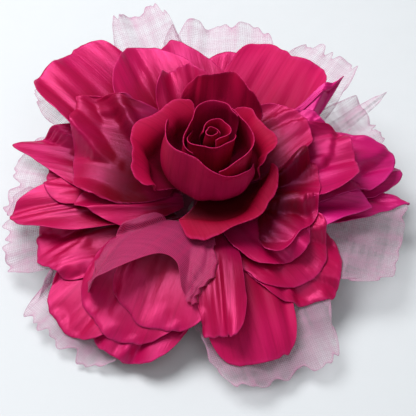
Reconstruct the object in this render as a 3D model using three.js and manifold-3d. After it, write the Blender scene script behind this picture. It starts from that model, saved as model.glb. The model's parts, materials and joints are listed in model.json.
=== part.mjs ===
// A large fabric rose on a sprung alligator hair clip.
//
// Millimetres, +Z up through the flower. The origin is on the flat underside of the clip's base
// arm, straight below the stem; +X runs along the clip towards the tip of its jaw.
//
// The flower is built the way it is glued up on a bench: a felt disc on the clip, a stem on the
// disc, then one cut and moulded petal after another, each laid on the petals already there, and
// last the bud, which is wrapped round a foam core.

import * as THREE from 'three';
import { ParametricGeometry } from 'three/addons/geometries/ParametricGeometry.js';
import { mergeVertices } from 'three/addons/utils/BufferGeometryUtils.js';
import Module from 'manifold-3d';

const wasm = await Module();
wasm.setup();

// ---------------------------------------------------------------- driving dimensions

const GAP = 0.3; // air kept between two pieces that touch

// clip
const ARM_LENGTH = 60;
const ARM_WIDTH = 8;
const ARM_THICK = 1;
const RELIEF_X = -13; // behind this the arm's underside is stepped up, clear of the spring
const RELIEF_DEEP = 0.1;
const PIVOT_X = -18;
const PIVOT_Z = -3.4;
const EAR_THICK = 0.55;
const EAR_RADIUS = 2.6;
const PIN_RADIUS = 0.8;
const PIN_HEAD_RADIUS = 1.4;
const PIN_HEAD_THICK = 0.6;
const LEVER_THICK = 0.6;
const LEVER_EAR_INSET = 0.35; // side play between the two pairs of ears
const JAW_DEPTH = 7.4; // how far the lever bows away from the arm
const TAB_DROP = 8.4; // how far the thumb tab stands off the arm
const JAW_TIP_X = 31; // the toothed lip hooks past the arm's end
const LIP_TOP = 0.3;
const LIP_DROP = 2.6; // where the lever's line meets the lip
const TOOTH_COUNT = 4;
const PAD_FROM = -10; // the liner's ends along X
const PAD_TO = 21;
const PAD_THICK = 0.8;
const PAD_WIDTH = 4.4;
const SPRING_RADIUS = 1.75;
const SPRING_WIRE = 0.3;
const SPRING_TURNS = 3;
const SPRING_WIDTH = 3.2;
const SPRING_LEG = 8;

// flower base
const FELT_RADIUS = 24;
const FELT_THICK = 2;
const STEM_RADIUS = 6;
const STEM_TOP_RADIUS = 7;
const STEM_TOP = 19.2;
const CORE_TOP = 35.6;
const CORE_RADIUS = 5;

// petals
const CLOTH_THICK = 0.4;
const LAY_GAP = CLOTH_THICK + 0.38; // from the middle of one cloth to the middle of the next
const ROWS = 7; // facets along a petal
const COLUMNS = 6; // facets across it
const CLAW = 0.3; // width where a petal is glued, as a share of its full width
const BELLY = 0.5; // how far up its length a petal reaches its full width
const TAPER = 0.08; // how much a petal narrows again towards its end
const WAVES_ALONG = 1.5; // ruffles up a petal's edge
const THREE_SIDED = 0.09; // how far the bud's rings are from round, as shares of their radius
const FIVE_SIDED = 0.04;
const FOLD_TURN = 0.1; // how the folds turn from one ring to the next, in radians a millimetre
const RIB_STEPS = 96;

// ---------------------------------------------------------------- small helpers

const radians = THREE.MathUtils.degToRad;
const clamp = THREE.MathUtils.clamp;
const smooth = (x) => THREE.MathUtils.smoothstep(x, 0, 1);
const mix = THREE.MathUtils.lerp;

const steel = new THREE.MeshStandardMaterial({ color: '#c9cacc', roughness: 0.32, metalness: 1 });
const wire = new THREE.MeshStandardMaterial({ color: '#8f9194', roughness: 0.35, metalness: 1 });
const rubber = new THREE.MeshStandardMaterial({ color: '#1c1a1c', roughness: 0.75, metalness: 0 });
const felt = new THREE.MeshStandardMaterial({ color: '#7a0f38', roughness: 0.95, metalness: 0 });
const plastic = new THREE.MeshStandardMaterial({ color: '#5f0a2c', roughness: 0.5, metalness: 0 });
const foam = new THREE.MeshStandardMaterial({ color: '#e9e2da', roughness: 0.9, metalness: 0 });
const satin = new THREE.MeshStandardMaterial({ color: '#c8145f', roughness: 0.38, metalness: 0 });
const cotton = new THREE.MeshStandardMaterial({ color: '#c4165f', roughness: 0.7, metalness: 0 });
const budCloth = new THREE.MeshStandardMaterial({ color: '#a30e40', roughness: 0.5, metalness: 0 });
const organza = new THREE.MeshStandardMaterial({
  color: '#dc8fae',
  roughness: 0.5,
  metalness: 0,
  transparent: true,
  opacity: 0.4,
});

const clip = new THREE.Group();

function addPiece(name, geometry, material) {
  const mesh = new THREE.Mesh(geometry, material);
  mesh.name = name;
  clip.add(mesh);
  return mesh;
}

// A closed geometry as a manifold-3d solid, and back.
function toSolid(geometry) {
  const bare = geometry.clone();
  bare.deleteAttribute('normal');
  bare.deleteAttribute('uv');
  const merged = mergeVertices(bare, 1e-4);
  return new wasm.Manifold(
    new wasm.Mesh({
      numProp: 3,
      vertProperties: merged.attributes.position.array,
      triVerts: new Uint32Array(merged.index.array),
    }),
  );
}

function toGeometry(solid) {
  const mesh = solid.getMesh();
  const geometry = new THREE.BufferGeometry();
  geometry.setAttribute('position', new THREE.BufferAttribute(mesh.vertProperties, 3));
  geometry.setIndex(new THREE.BufferAttribute(mesh.triVerts, 1));
  return geometry;
}

const joinAll = (geometries) =>
  geometries.map(toSolid).reduce((whole, next) => whole.add(next));

// A side-view outline, drawn in X and Z, pushed out along Y from one y to another.
function sidePlate(shape, fromY, toY) {
  const plate = new THREE.ExtrudeGeometry(shape, {
    depth: toY - fromY,
    bevelEnabled: false,
    curveSegments: 8,
  });
  plate.rotateX(Math.PI / 2);
  plate.translate(0, toY, 0);
  return plate;
}

// ---------------------------------------------------------------- clip

// An ear is a tongue with a round end; the hinge pin's bore is cut through it afterwards.
function earShape(rootZ, rootHalf) {
  const shape = new THREE.Shape();
  shape.moveTo(PIVOT_X - rootHalf, rootZ);
  shape.lineTo(PIVOT_X + rootHalf, rootZ);
  if (rootZ > PIVOT_Z) {
    shape.lineTo(PIVOT_X + EAR_RADIUS, PIVOT_Z);
    shape.absarc(PIVOT_X, PIVOT_Z, EAR_RADIUS, 0, -Math.PI, true);
  } else {
    shape.lineTo(PIVOT_X + EAR_RADIUS, PIVOT_Z);
    shape.absarc(PIVOT_X, PIVOT_Z, EAR_RADIUS, 0, Math.PI, false);
  }
  shape.closePath();
  return shape;
}

// The bore through both ears, with running clearance round the pin.
function pinBore() {
  const bore = new THREE.CylinderGeometry(PIN_RADIUS + GAP, PIN_RADIUS + GAP, ARM_WIDTH * 2, 16);
  bore.translate(PIVOT_X, 0, PIVOT_Z);
  return toSolid(bore);
}

function baseArm() {
  const half = ARM_WIDTH / 2;
  const outline = new THREE.Shape();
  outline.moveTo(-ARM_LENGTH / 2 + half, -half);
  outline.lineTo(ARM_LENGTH / 2 - half, -half);
  outline.absarc(ARM_LENGTH / 2 - half, 0, half, -Math.PI / 2, Math.PI / 2, false);
  outline.lineTo(-ARM_LENGTH / 2 + half, half);
  outline.absarc(-ARM_LENGTH / 2 + half, 0, half, Math.PI / 2, (Math.PI * 3) / 2, false);
  const arm = new THREE.ExtrudeGeometry(outline, {
    depth: ARM_THICK,
    bevelEnabled: false,
    curveSegments: 8,
  });
  const ear = earShape(ARM_THICK / 2, EAR_RADIUS + 1);
  const outer = half - EAR_THICK;
  const relief = new THREE.BoxGeometry(ARM_LENGTH, 2 * ARM_WIDTH, 2 * RELIEF_DEEP);
  relief.translate(RELIEF_X - ARM_LENGTH / 2, 0, 0);
  const plate = toSolid(arm).subtract(toSolid(relief));
  const ears = joinAll([sidePlate(ear, outer, half), sidePlate(ear, -half, -outer)]);
  return toGeometry(plate.add(ears).subtract(pinBore()));
}

// The hair side of the lever, seen from the side: bowed away from the arm, from tab to jaw tip.
const leverLine = new THREE.SplineCurve([
  new THREE.Vector2(-ARM_LENGTH / 2 - 1, -TAB_DROP + 0.4),
  new THREE.Vector2(-25, -TAB_DROP + 0.5),
  new THREE.Vector2(PIVOT_X, -EAR_RADIUS + PIVOT_Z - 0.2),
  new THREE.Vector2(-8, -JAW_DEPTH + 0.7),
  new THREE.Vector2(4, -JAW_DEPTH + LEVER_THICK),
  new THREE.Vector2(16, -JAW_DEPTH + 2.2),
  new THREE.Vector2(JAW_TIP_X - LEVER_THICK, -LIP_DROP),
]).getPoints(20);

function leverStrip() {
  const shape = new THREE.Shape();
  shape.moveTo(leverLine[0].x, leverLine[0].y);
  for (const point of leverLine.slice(1)) shape.lineTo(point.x, point.y);
  shape.lineTo(JAW_TIP_X - LEVER_THICK, LIP_TOP);
  shape.lineTo(JAW_TIP_X, LIP_TOP);
  shape.lineTo(JAW_TIP_X, -LIP_DROP - LEVER_THICK);
  for (const point of leverLine.slice(0, -1).reverse()) {
    shape.lineTo(point.x, point.y - LEVER_THICK);
  }
  shape.closePath();
  return shape;
}

function leverJaw() {
  const half = ARM_WIDTH / 2 - EAR_THICK - LEVER_EAR_INSET;
  const strip = sidePlate(leverStrip(), -half, half);
  const ear = earShape(-EAR_RADIUS + PIVOT_Z - 0.5, EAR_RADIUS);
  const inner = half - EAR_THICK;
  let lever = joinAll([strip, sidePlate(ear, inner, half), sidePlate(ear, -half, -inner)]);
  lever = lever.subtract(pinBore());
  // the turned-up lip is cut into teeth
  const pitch = (2 * half) / TOOTH_COUNT;
  for (let i = 1; i < TOOTH_COUNT; i += 1) {
    const notch = new THREE.CylinderGeometry(pitch * 0.28, pitch * 0.28, 4, 8);
    notch.rotateZ(Math.PI / 2);
    notch.translate(JAW_TIP_X, -half + i * pitch, LIP_TOP);
    lever = lever.subtract(toSolid(notch));
  }
  return toGeometry(lever);
}

// A thin liner glued along the hair side of the lever, following its bow.
function gripPad() {
  const under = leverLine.filter((point) => point.x > PAD_FROM && point.x < PAD_TO);
  const shape = new THREE.Shape();
  shape.moveTo(under[0].x, under[0].y + GAP);
  for (const point of under.slice(1)) shape.lineTo(point.x, point.y + GAP);
  for (const point of under.reverse()) shape.lineTo(point.x, point.y + GAP + PAD_THICK);
  shape.closePath();
  return sidePlate(shape, -PAD_WIDTH / 2, PAD_WIDTH / 2);
}

function hingePin() {
  const end = ARM_WIDTH / 2 + GAP;
  const profile = [
    [0, -end - PIN_HEAD_THICK],
    [PIN_HEAD_RADIUS, -end - PIN_HEAD_THICK],
    [PIN_HEAD_RADIUS, -end],
    [PIN_RADIUS, -end],
    [PIN_RADIUS, end],
    [PIN_HEAD_RADIUS, end],
    [PIN_HEAD_RADIUS, end + PIN_HEAD_THICK],
    [0, end + PIN_HEAD_THICK],
  ].map(([r, y]) => new THREE.Vector2(r, y));
  const pin = new THREE.LatheGeometry(profile, 16);
  pin.translate(PIVOT_X, 0, PIVOT_Z);
  return pin;
}

// The spring's wire: one leg under the arm's tail, turns round the pin, one leg on the thumb tab.
class SpringPath extends THREE.Curve {
  getPoint(t, target = new THREE.Vector3()) {
    const legShare = 0.12;
    const turned = clamp((t - legShare) / (1 - 2 * legShare), 0, 1);
    const angle = Math.PI / 2 - turned * (Math.PI * 2 * SPRING_TURNS + radians(164));
    const reach = (Math.max(0, legShare - t, t - 1 + legShare) / legShare) * SPRING_LEG;
    const forward = t < 0.5 ? -1 : 1; // the first leg runs back along the wire, the last one on
    return target.set(
      PIVOT_X + SPRING_RADIUS * Math.cos(angle) + forward * reach * Math.sin(angle),
      mix(-SPRING_WIDTH / 2, SPRING_WIDTH / 2, turned),
      PIVOT_Z + SPRING_RADIUS * Math.sin(angle) - forward * reach * Math.cos(angle),
    );
  }
}

function torsionSpring() {
  const section = new THREE.Shape().absarc(0, 0, SPRING_WIRE, 0, Math.PI * 2, false);
  return new THREE.ExtrudeGeometry(section, {
    steps: 72,
    curveSegments: 3,
    extrudePath: new SpringPath(),
  });
}

// ---------------------------------------------------------------- flower base

function feltDisc() {
  const bottom = ARM_THICK + GAP;
  const profile = [
    [0, bottom],
    [FELT_RADIUS, bottom],
    [FELT_RADIUS, bottom + FELT_THICK],
    [0, bottom + FELT_THICK],
  ].map(([r, z]) => new THREE.Vector2(r, z));
  return upright(new THREE.LatheGeometry(profile, 32));
}

// Lathe profiles are drawn upwards and turned about Y; this stands them along Z.
function upright(geometry) {
  return geometry.rotateX(Math.PI / 2);
}

function stemPeg() {
  const bottom = ARM_THICK + FELT_THICK + 2 * GAP;
  const profile = [
    [0, bottom],
    [STEM_RADIUS + 2, bottom],
    [STEM_RADIUS, bottom + 2],
    [STEM_RADIUS - 1, STEM_TOP - 5],
    [STEM_TOP_RADIUS - 1, STEM_TOP],
    [0, STEM_TOP],
  ].map(([r, z]) => new THREE.Vector2(r, z));
  return upright(new THREE.LatheGeometry(profile, 20));
}

function budCore() {
  const bottom = STEM_TOP + GAP;
  const profile = [
    [0, bottom],
    [2.2, bottom],
    [3.6, bottom + 4],
    [CORE_RADIUS, bottom + 9],
    [CORE_RADIUS - 0.4, CORE_TOP - 2.4],
    [3, CORE_TOP - 0.4],
    [0, CORE_TOP],
  ].map(([r, z]) => new THREE.Vector2(r, z));
  return upright(new THREE.LatheGeometry(profile, 16));
}

// ---------------------------------------------------------------- petals

// The cut line of a petal's end: how far up the petal each strand of cloth runs, from one side
// edge (across = -1) to the other (+1). Each shape is a rounded bow of its own fullness.
const END_SHAPES = {
  round: { power: 2, root: 0.5 },
  square: { power: 5, root: 0.5 },
  soft: { power: 1.6, root: 0.6 },
  point: { power: 1.1, root: 0.8 },
};

function endLine(petal, across) {
  const { power, root } = END_SHAPES[petal.end];
  const bow = Math.pow(Math.max(0, 1 - Math.abs(across) ** power), root);
  const notch = petal.notch * Math.exp(-(((across - petal.dentAt) / petal.dent) ** 2));
  return (mix(petal.corner, 1, bow) - notch) * (1 + petal.skew * across);
}

// The rib up a petal's middle, bent from claw to tip so that it ends at the tip it is given.
function ribOf(petal) {
  const slopes = [];
  for (let i = 0; i <= RIB_STEPS; i += 1) {
    slopes.push(radians(petal.bend * (i / RIB_STEPS) ** petal.late));
  }
  const run = new THREE.Vector2();
  for (let i = 1; i <= RIB_STEPS; i += 1) {
    run.x += (Math.cos(slopes[i]) + Math.cos(slopes[i - 1])) / 2;
    run.y += (Math.sin(slopes[i]) + Math.sin(slopes[i - 1])) / 2;
  }
  const [baseR, baseZ] = petal.base;
  const [tipR, tipZ] = petal.tip;
  const chord = Math.hypot(tipR - baseR, tipZ - baseZ);
  const step = chord / run.length();
  const lift = Math.atan2(tipZ - baseZ, tipR - baseR) - run.angle();
  const points = [{ r: baseR, z: baseZ, slope: slopes[0] + lift }];
  for (let i = 1; i <= RIB_STEPS; i += 1) {
    const slope = slopes[i] + lift;
    const before = points[i - 1];
    points.push({
      r: before.r + (step * (Math.cos(slope) + Math.cos(before.slope))) / 2,
      z: before.z + (step * (Math.sin(slope) + Math.sin(before.slope))) / 2,
      slope,
    });
  }
  return points;
}

function onRib(rib, share) {
  const place = clamp(share * RIB_STEPS, 0, RIB_STEPS - 1e-6);
  const i = Math.floor(place);
  const f = place - i;
  return {
    r: mix(rib[i].r, rib[i + 1].r, f),
    z: mix(rib[i].z, rib[i + 1].z, f),
    slope: mix(rib[i].slope, rib[i + 1].slope, f),
  };
}

// How far a petal has opened out at this share of its length, from 0 at the claw to 1.
const swellOf = (share) => Math.sin((Math.min(share / BELLY, 1) * Math.PI) / 2) ** 0.9;

// An open petal: a strip of changing width laid along the rib, bowed across by its cup angle.
function openPetalPoint(petal, rib, share, across) {
  const { r, z, slope } = onRib(rib, share);
  const heading = radians(petal.at);
  const turn = radians(petal.tilt + petal.twist * share);
  const out = new THREE.Vector3(Math.cos(heading), Math.sin(heading), 0);
  const up = new THREE.Vector3(0, 0, Math.cos(slope)).addScaledVector(out, -Math.sin(slope));
  const side = new THREE.Vector3(-Math.sin(heading), Math.cos(heading), 0);
  const level = side.clone().multiplyScalar(Math.cos(turn)).addScaledVector(up, Math.sin(turn));
  const face = up.clone().multiplyScalar(Math.cos(turn)).addScaledVector(side, -Math.sin(turn));

  const swell = mix(petal.claw, 1, swellOf(share));
  const narrow = 1 - TAPER * Math.max(0, (share - BELLY) / (1 - BELLY)) ** 2;
  const half = petal.half * swell * narrow;
  const cup = radians(mix(petal.cup[0], petal.cup[1], share));
  const arc = Math.abs(cup) < 1e-3 ? 1e-3 : cup;
  const sideways = (half * Math.sin(arc * across)) / arc;
  let rise = (half * (1 - Math.cos(arc * across))) / arc;
  if (petal.ruffle) {
    const wave = Math.sin(petal.waves * across * Math.PI + petal.phase);
    const edge = Math.abs(across) ** 1.5;
    const flutter = Math.sin(WAVES_ALONG * share * Math.PI * 2 + petal.phase * 1.7 + across);
    rise += petal.ruffle * share ** 1.5 * 0.6 * (wave + edge * flutter);
  }
  return out
    .multiplyScalar(r)
    .add(new THREE.Vector3(0, 0, z))
    .addScaledVector(level, sideways)
    .addScaledVector(face, rise);
}

// A wrapped petal stands round the bud: an arc about the flower's axis that swells, then closes.
function wrappedPetalPoint(petal, share, across) {
  const [baseR, baseZ] = petal.base;
  const [tipR, tipZ] = petal.tip;
  const swell = swellOf(share);
  const closing = petal.close * smooth((share - BELLY) / (1 - BELLY)) ** 1.2;
  const round = mix(baseR, tipR, swell) - closing + petal.drift * across;
  const angle = radians(petal.at + across * petal.wrap * (1 - 0.2 * (1 - share) ** 2));
  const three = THREE_SIDED * Math.cos(3 * angle + 0.7 + round * FOLD_TURN);
  const five = FIVE_SIDED * Math.cos(5 * angle + 2 - round * FOLD_TURN);
  const radius = round * (1 + (three + five) * share);
  return new THREE.Vector3(
    petal.lean * share + radius * Math.cos(angle),
    radius * Math.sin(angle),
    mix(baseZ, tipZ, share) + petal.slant * across * share,
  );
}

// The middle surface of a petal as rows of points, from its claw to its cut end.
function petalRows(petal) {
  const rib = petal.wrap ? null : ribOf(petal);
  const rows = [];
  for (let i = 0; i <= ROWS; i += 1) {
    const row = [];
    for (let j = 0; j <= COLUMNS; j += 1) {
      const even = (2 * j) / COLUMNS - 1;
      const across = mix(even, Math.sin((even * Math.PI) / 2), 0.35); // closer towards the edges
      const share = (i / ROWS) * endLine(petal, across);
      row.push(
        petal.wrap
          ? wrappedPetalPoint(petal, share, across)
          : openPetalPoint(petal, rib, share, across),
      );
    }
    rows.push(row);
  }
  return rows;
}

// ---------------------------------------------------------------- laying petals on each other

// The top of the pile so far, as a square field of heights.
const FIELD_CELL = 0.75;
const FIELD_HALF = 96;
const FIELD_SIZE = Math.round((2 * FIELD_HALF) / FIELD_CELL);
const EMPTY = -999;
const pile = new Float64Array(FIELD_SIZE * FIELD_SIZE).fill(EMPTY);

const cellOf = (x) => clamp(Math.floor((x + FIELD_HALF) / FIELD_CELL), 0, FIELD_SIZE - 1);

// The lowest height that stays LAY_GAP clear of the pile in every direction, not only upwards.
function clearHeights() {
  const reach = Math.ceil(LAY_GAP / FIELD_CELL);
  const clear = new Float64Array(pile.length).fill(EMPTY);
  for (let i = reach; i < FIELD_SIZE - reach; i += 1) {
    for (let j = reach; j < FIELD_SIZE - reach; j += 1) {
      for (let a = -reach; a <= reach; a += 1) {
        for (let b = -reach; b <= reach; b += 1) {
          const flat = (a * a + b * b) * FIELD_CELL ** 2;
          const height = pile[(i + a) * FIELD_SIZE + j + b];
          if (height > EMPTY && flat < LAY_GAP ** 2) {
            const rest = height + Math.sqrt(LAY_GAP ** 2 - flat);
            clear[i * FIELD_SIZE + j] = Math.max(clear[i * FIELD_SIZE + j], rest);
          }
        }
      }
    }
  }
  return clear;
}

// A height read between the centres of four cells, leaving out empty ones.
function readHeight(field, x, y) {
  const fx = clamp((x + FIELD_HALF) / FIELD_CELL - 0.5, 0, FIELD_SIZE - 1.001);
  const fy = clamp((y + FIELD_HALF) / FIELD_CELL - 0.5, 0, FIELD_SIZE - 1.001);
  const i = Math.floor(fx);
  const j = Math.floor(fy);
  let sum = 0;
  let weight = 0;
  for (const [a, wa] of [[0, 1 - fx + i], [1, fx - i]]) {
    for (const [b, wb] of [[0, 1 - fy + j], [1, fy - j]]) {
      const height = field[(i + a) * FIELD_SIZE + j + b];
      if (height > EMPTY) {
        sum += height * wa * wb;
        weight += wa * wb;
      }
    }
  }
  return weight > 0.05 ? sum / weight : EMPTY;
}

// Calls visit(point) at k by k places inside one facet of a petal.
function sampleFacet(rows, i, j, k, visit) {
  const point = new THREE.Vector3();
  for (let a = 0.5 / k; a < 1; a += 1 / k) {
    for (let b = 0.5 / k; b < 1; b += 1 / k) {
      point.set(0, 0, 0);
      point.addScaledVector(rows[i][j], (1 - a) * (1 - b));
      point.addScaledVector(rows[i + 1][j], a * (1 - b));
      point.addScaledVector(rows[i][j + 1], (1 - a) * b);
      point.addScaledVector(rows[i + 1][j + 1], a * b);
      visit(point);
    }
  }
}

// Lifts a petal wherever it would press into the pile, then adds it to the pile.
function layOnPile(rows) {
  const clear = clearHeights();
  for (let pass = 0; pass < 6; pass += 1) {
    const lifts = rows.map((row) => row.map(() => 0));
    let most = 0;
    for (let i = 0; i < ROWS; i += 1) {
      for (let j = 0; j < COLUMNS; j += 1) {
        let need = 0;
        sampleFacet(rows, i, j, 8, (point) => {
          const rest = readHeight(clear, point.x, point.y);
          if (rest > EMPTY) need = Math.max(need, rest - point.z);
        });
        most = Math.max(most, need);
        for (const [a, b] of [[0, 0], [1, 0], [0, 1], [1, 1]]) {
          lifts[i + a][j + b] = Math.max(lifts[i + a][j + b], need);
        }
      }
    }
    if (most < 0.03) break;
    rows.forEach((row, i) => row.forEach((point, j) => (point.z += lifts[i][j])));
  }
  for (let i = 0; i < ROWS; i += 1) {
    for (let j = 0; j < COLUMNS; j += 1) {
      sampleFacet(rows, i, j, 24, (point) => {
        const cell = cellOf(point.x) * FIELD_SIZE + cellOf(point.y);
        pile[cell] = Math.max(pile[cell], point.z);
      });
    }
  }
}

// ---------------------------------------------------------------- a petal as a closed solid

// Both faces of the cloth in one closed skin that thins out to nothing at the cut edges.
function petalSkin(rows) {
  const normals = rows.map((row, i) =>
    row.map((point, j) => {
      const along = rows[Math.min(i + 1, ROWS)][j].clone().sub(rows[Math.max(i - 1, 0)][j]);
      const over = row[Math.min(j + 1, COLUMNS)].clone().sub(row[Math.max(j - 1, 0)]);
      return along.cross(over).normalize();
    }),
  );
  const around = 2 * COLUMNS;
  const skin = new ParametricGeometry(
    (a, b, target) => {
      const i = Math.round(a * ROWS);
      const k = Math.round(b * around) % around;
      const j = k <= COLUMNS ? k : around - k;
      const rim = i === 0 || i === ROWS || j === 0 || j === COLUMNS;
      const side = k <= COLUMNS ? 1 : -1;
      target.copy(rows[i][j]);
      if (!rim) target.addScaledVector(normals[i][j], (side * CLOTH_THICK) / 2);
    },
    ROWS,
    around,
  );
  turnDiagonals(skin);
  return skin;
}

// A corner facet needs its diagonal through the corner, or its outer half has no thickness.
function turnDiagonals(skin) {
  const index = skin.getIndex();
  for (let k = 0; k < 2 * COLUMNS; k += 1) {
    for (let i = 0; i < ROWS; i += 1) {
      const lowHalf = i < ROWS / 2;
      const leftHalf = k % COLUMNS < COLUMNS / 2;
      if (lowHalf === leftHalf) {
        const first = (k * ROWS + i) * 6;
        const [a, b, d, , c] = index.array.slice(first, first + 6);
        index.array.set([a, b, c, a, c, d], first);
      }
    }
  }
}

const PETAL_DEFAULTS = {
  claw: CLAW,
  late: 1.5, // how late along its length the petal bends
  cup: [15, 15], // half angle of the bow across, at the claw and at the end, in degrees
  tilt: 0,
  twist: 0,
  end: 'round',
  corner: 0.7, // length of the side edges as a share of the full length
  notch: 0, // how deep a dent the cut end has, then its half width and its place across
  dent: 0.22,
  dentAt: 0,
  skew: 0,
  ruffle: 0,
  waves: 1.5,
  phase: 0,
  close: 0,
  drift: 0,
  lean: 0,
  slant: 0,
};

function addPetal(name, material, shape) {
  const petal = { ...PETAL_DEFAULTS, ...shape };
  const rows = petalRows(petal);
  if (!petal.wrap) layOnPile(rows);
  addPiece(name, petalSkin(rows), material);
}

addPiece('clip_base_arm', baseArm(), steel);
addPiece('clip_lever_jaw', leverJaw(), steel);
addPiece('grip_pad', gripPad(), rubber);
addPiece('hinge_pin', hingePin(), steel);
addPiece('torsion_spring', torsionSpring(), wire);
addPiece('felt_backing', feltDisc(), felt);
addPiece('stem_peg', stemPeg(), plastic);
addPiece('bud_core', budCore(), foam);

// sheer organza under the petals
addPetal('organza_05', organza, {
  at: -68, base: [15, 5.2], tip: [78, -2], half: 24, bend: -15, cup: [6, 6], end: 'square',
  corner: 0.8,
});
addPetal('organza_07', organza, {
  at: -172, base: [15, 5.0], tip: [78, 0], half: 20, bend: -15, cup: [6, 6], end: 'square',
  corner: 0.8,
});
addPetal('organza_06', organza, {
  at: -134, base: [15, 5.4], tip: [79, -5], half: 22, bend: -15, cup: [6, 6], end: 'square',
  corner: 0.8,
});
addPetal('organza_08', organza, {
  at: 168, base: [15, 5.6], tip: [77, 6], half: 22, bend: -15, cup: [6, 6], end: 'square',
  corner: 0.8,
});
addPetal('organza_04', organza, {
  at: -14, base: [15, 6.0], tip: [74, 6], half: 22, bend: -15, cup: [6, 6], end: 'square',
  corner: 0.8,
});
addPetal('organza_09', organza, {
  at: 141, base: [15, 6.6], tip: [80, 24], half: 15, bend: -15, cup: [6, 6], end: 'square',
  corner: 0.8,
});
addPetal('organza_01', organza, {
  at: 86, base: [15, 6.8], tip: [72, 34], half: 22, bend: -15, cup: [6, 6], end: 'square',
  corner: 0.8,
});
addPetal('organza_03', organza, {
  at: 28, base: [15, 6.0], tip: [72, 19], half: 15, bend: -15, cup: [6, 6], end: 'square',
  corner: 0.8,
});
addPetal('organza_02', organza, {
  at: 50, base: [15, 6.4], tip: [77, 30], half: 15, bend: -15, cup: [6, 6], end: 'square',
  corner: 0.8,
});
addPetal('organza_11', organza, {
  at: 30, base: [15, 6.2], tip: [79, 29], half: 5, bend: 15, cup: [50, 50], end: 'point',
  corner: 0.5, twist: 50,
});
addPetal('organza_10', organza, {
  at: 111, base: [15, 6.2], tip: [82, 36], half: 13, bend: -15, cup: [6, 6], end: 'square',
  corner: 0.8,
});

// lowest petals
addPetal('under_petal_3', satin, {
  at: -117, base: [13, 6.8], tip: [72, -3], half: 19, bend: -45, cup: [-10, -10],
});
addPetal('under_petal_4', satin, {
  at: -136, base: [13, 7.4], tip: [74, -2], half: 18, bend: -40, cup: [-10, -10],
});
addPetal('under_petal_5', satin, {
  at: -160, base: [13, 7.8], tip: [67, 2], half: 17, bend: -40, cup: [-10, -10],
});
addPetal('under_petal_2', satin, {
  at: 1, base: [13, 7.6], tip: [77, 5], half: 11, bend: -15, end: 'point', corner: 0.55,
});
addPetal('under_petal_1', satin, {
  at: 11, base: [13, 8.4], tip: [76, 9], half: 12, bend: -15, cup: [20, 20], end: 'soft',
  corner: 0.6, tilt: 10,
});

// outer petals
addPetal('outer_petal_06', cotton, {
  at: -74, base: [11, 8.4], tip: [70, 1], half: 17, bend: -50, cup: [-8, -8], end: 'square',
});
addPetal('outer_petal_08', satin, {
  at: -122, base: [11, 8.8], tip: [67, 1], half: 21, bend: -60, cup: [-14, -14],
});
addPetal('outer_petal_09', satin, {
  at: 185, base: [11, 10.2], tip: [75, 9], half: 13, bend: -30, cup: [10, 10], end: 'soft',
  corner: 0.6,
});
addPetal('outer_petal_12', satin, {
  at: 172, base: [11, 10.4], tip: [63, 12], half: 13, bend: -30, cup: [12, 12],
});
addPetal('outer_petal_04', satin, {
  at: -42, base: [11, 9.2], tip: [61, 3], half: 18, bend: -45, cup: [8, -12], end: 'soft',
});
addPetal('outer_petal_03', satin, {
  at: -6, base: [11, 9.6], tip: [62, 16], half: 15, bend: -20, end: 'point', corner: 0.6,
});
addPetal('outer_petal_10', satin, {
  at: 161, base: [11, 10.8], tip: [80, 12], half: 15, bend: -25, end: 'point', corner: 0.45,
});
addPetal('outer_petal_02', satin, {
  at: 15, base: [11, 9.8], tip: [73, 15], half: 16, bend: -20, cup: [20, 20], end: 'soft',
  corner: 0.6, tilt: 12, skew: -0.1,
});
addPetal('outer_petal_11', satin, {
  at: 138, base: [11, 11.4], tip: [78, 33], half: 21, bend: -15, cup: [12, 12], end: 'square',
  corner: 0.8, tilt: 6,
});
addPetal('outer_petal_07', satin, {
  at: -110, base: [11, 10.6], tip: [60, 5], half: 20, bend: -60, cup: [-15, -15],
});
addPetal('outer_petal_05', satin, {
  at: -42, base: [11, 10.8], tip: [53, 9], half: 18, bend: -40, cup: [10, -12], end: 'soft',
});

// middle petals
addPetal('middle_petal_01', satin, {
  at: 79, base: [9.5, 12], tip: [59, 30], half: 16, bend: -20, cup: [10, 10],
});
addPetal('middle_petal_10', satin, {
  at: 103, base: [9.5, 12.8], tip: [65, 34], half: 19, bend: -20, cup: [15, 10], end: 'point',
  corner: 0.6,
});
addPetal('middle_petal_07', satin, {
  at: -172, base: [9.5, 13], tip: [51, 17], half: 12, bend: -30, cup: [-20, -20], end: 'point',
  corner: 0.6,
});
addPetal('middle_petal_09', satin, {
  at: 118, base: [9.5, 13.8], tip: [64, 36], half: 19, bend: -20, cup: [35, 28], end: 'soft',
  corner: 0.6, tilt: 8,
});
addPetal('middle_petal_02', cotton, {
  at: 58, base: [9.5, 13.4], tip: [62, 36], half: 20, bend: -20, cup: [10, 6], end: 'square',
  corner: 0.8, notch: 0.03,
});

// outer petals
addPetal('outer_petal_01', satin, {
  at: 38, base: [11, 10.4], tip: [66, 37], half: 6, bend: 10, cup: [60, 60], end: 'point',
  corner: 0.5, twist: 60,
});

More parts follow.
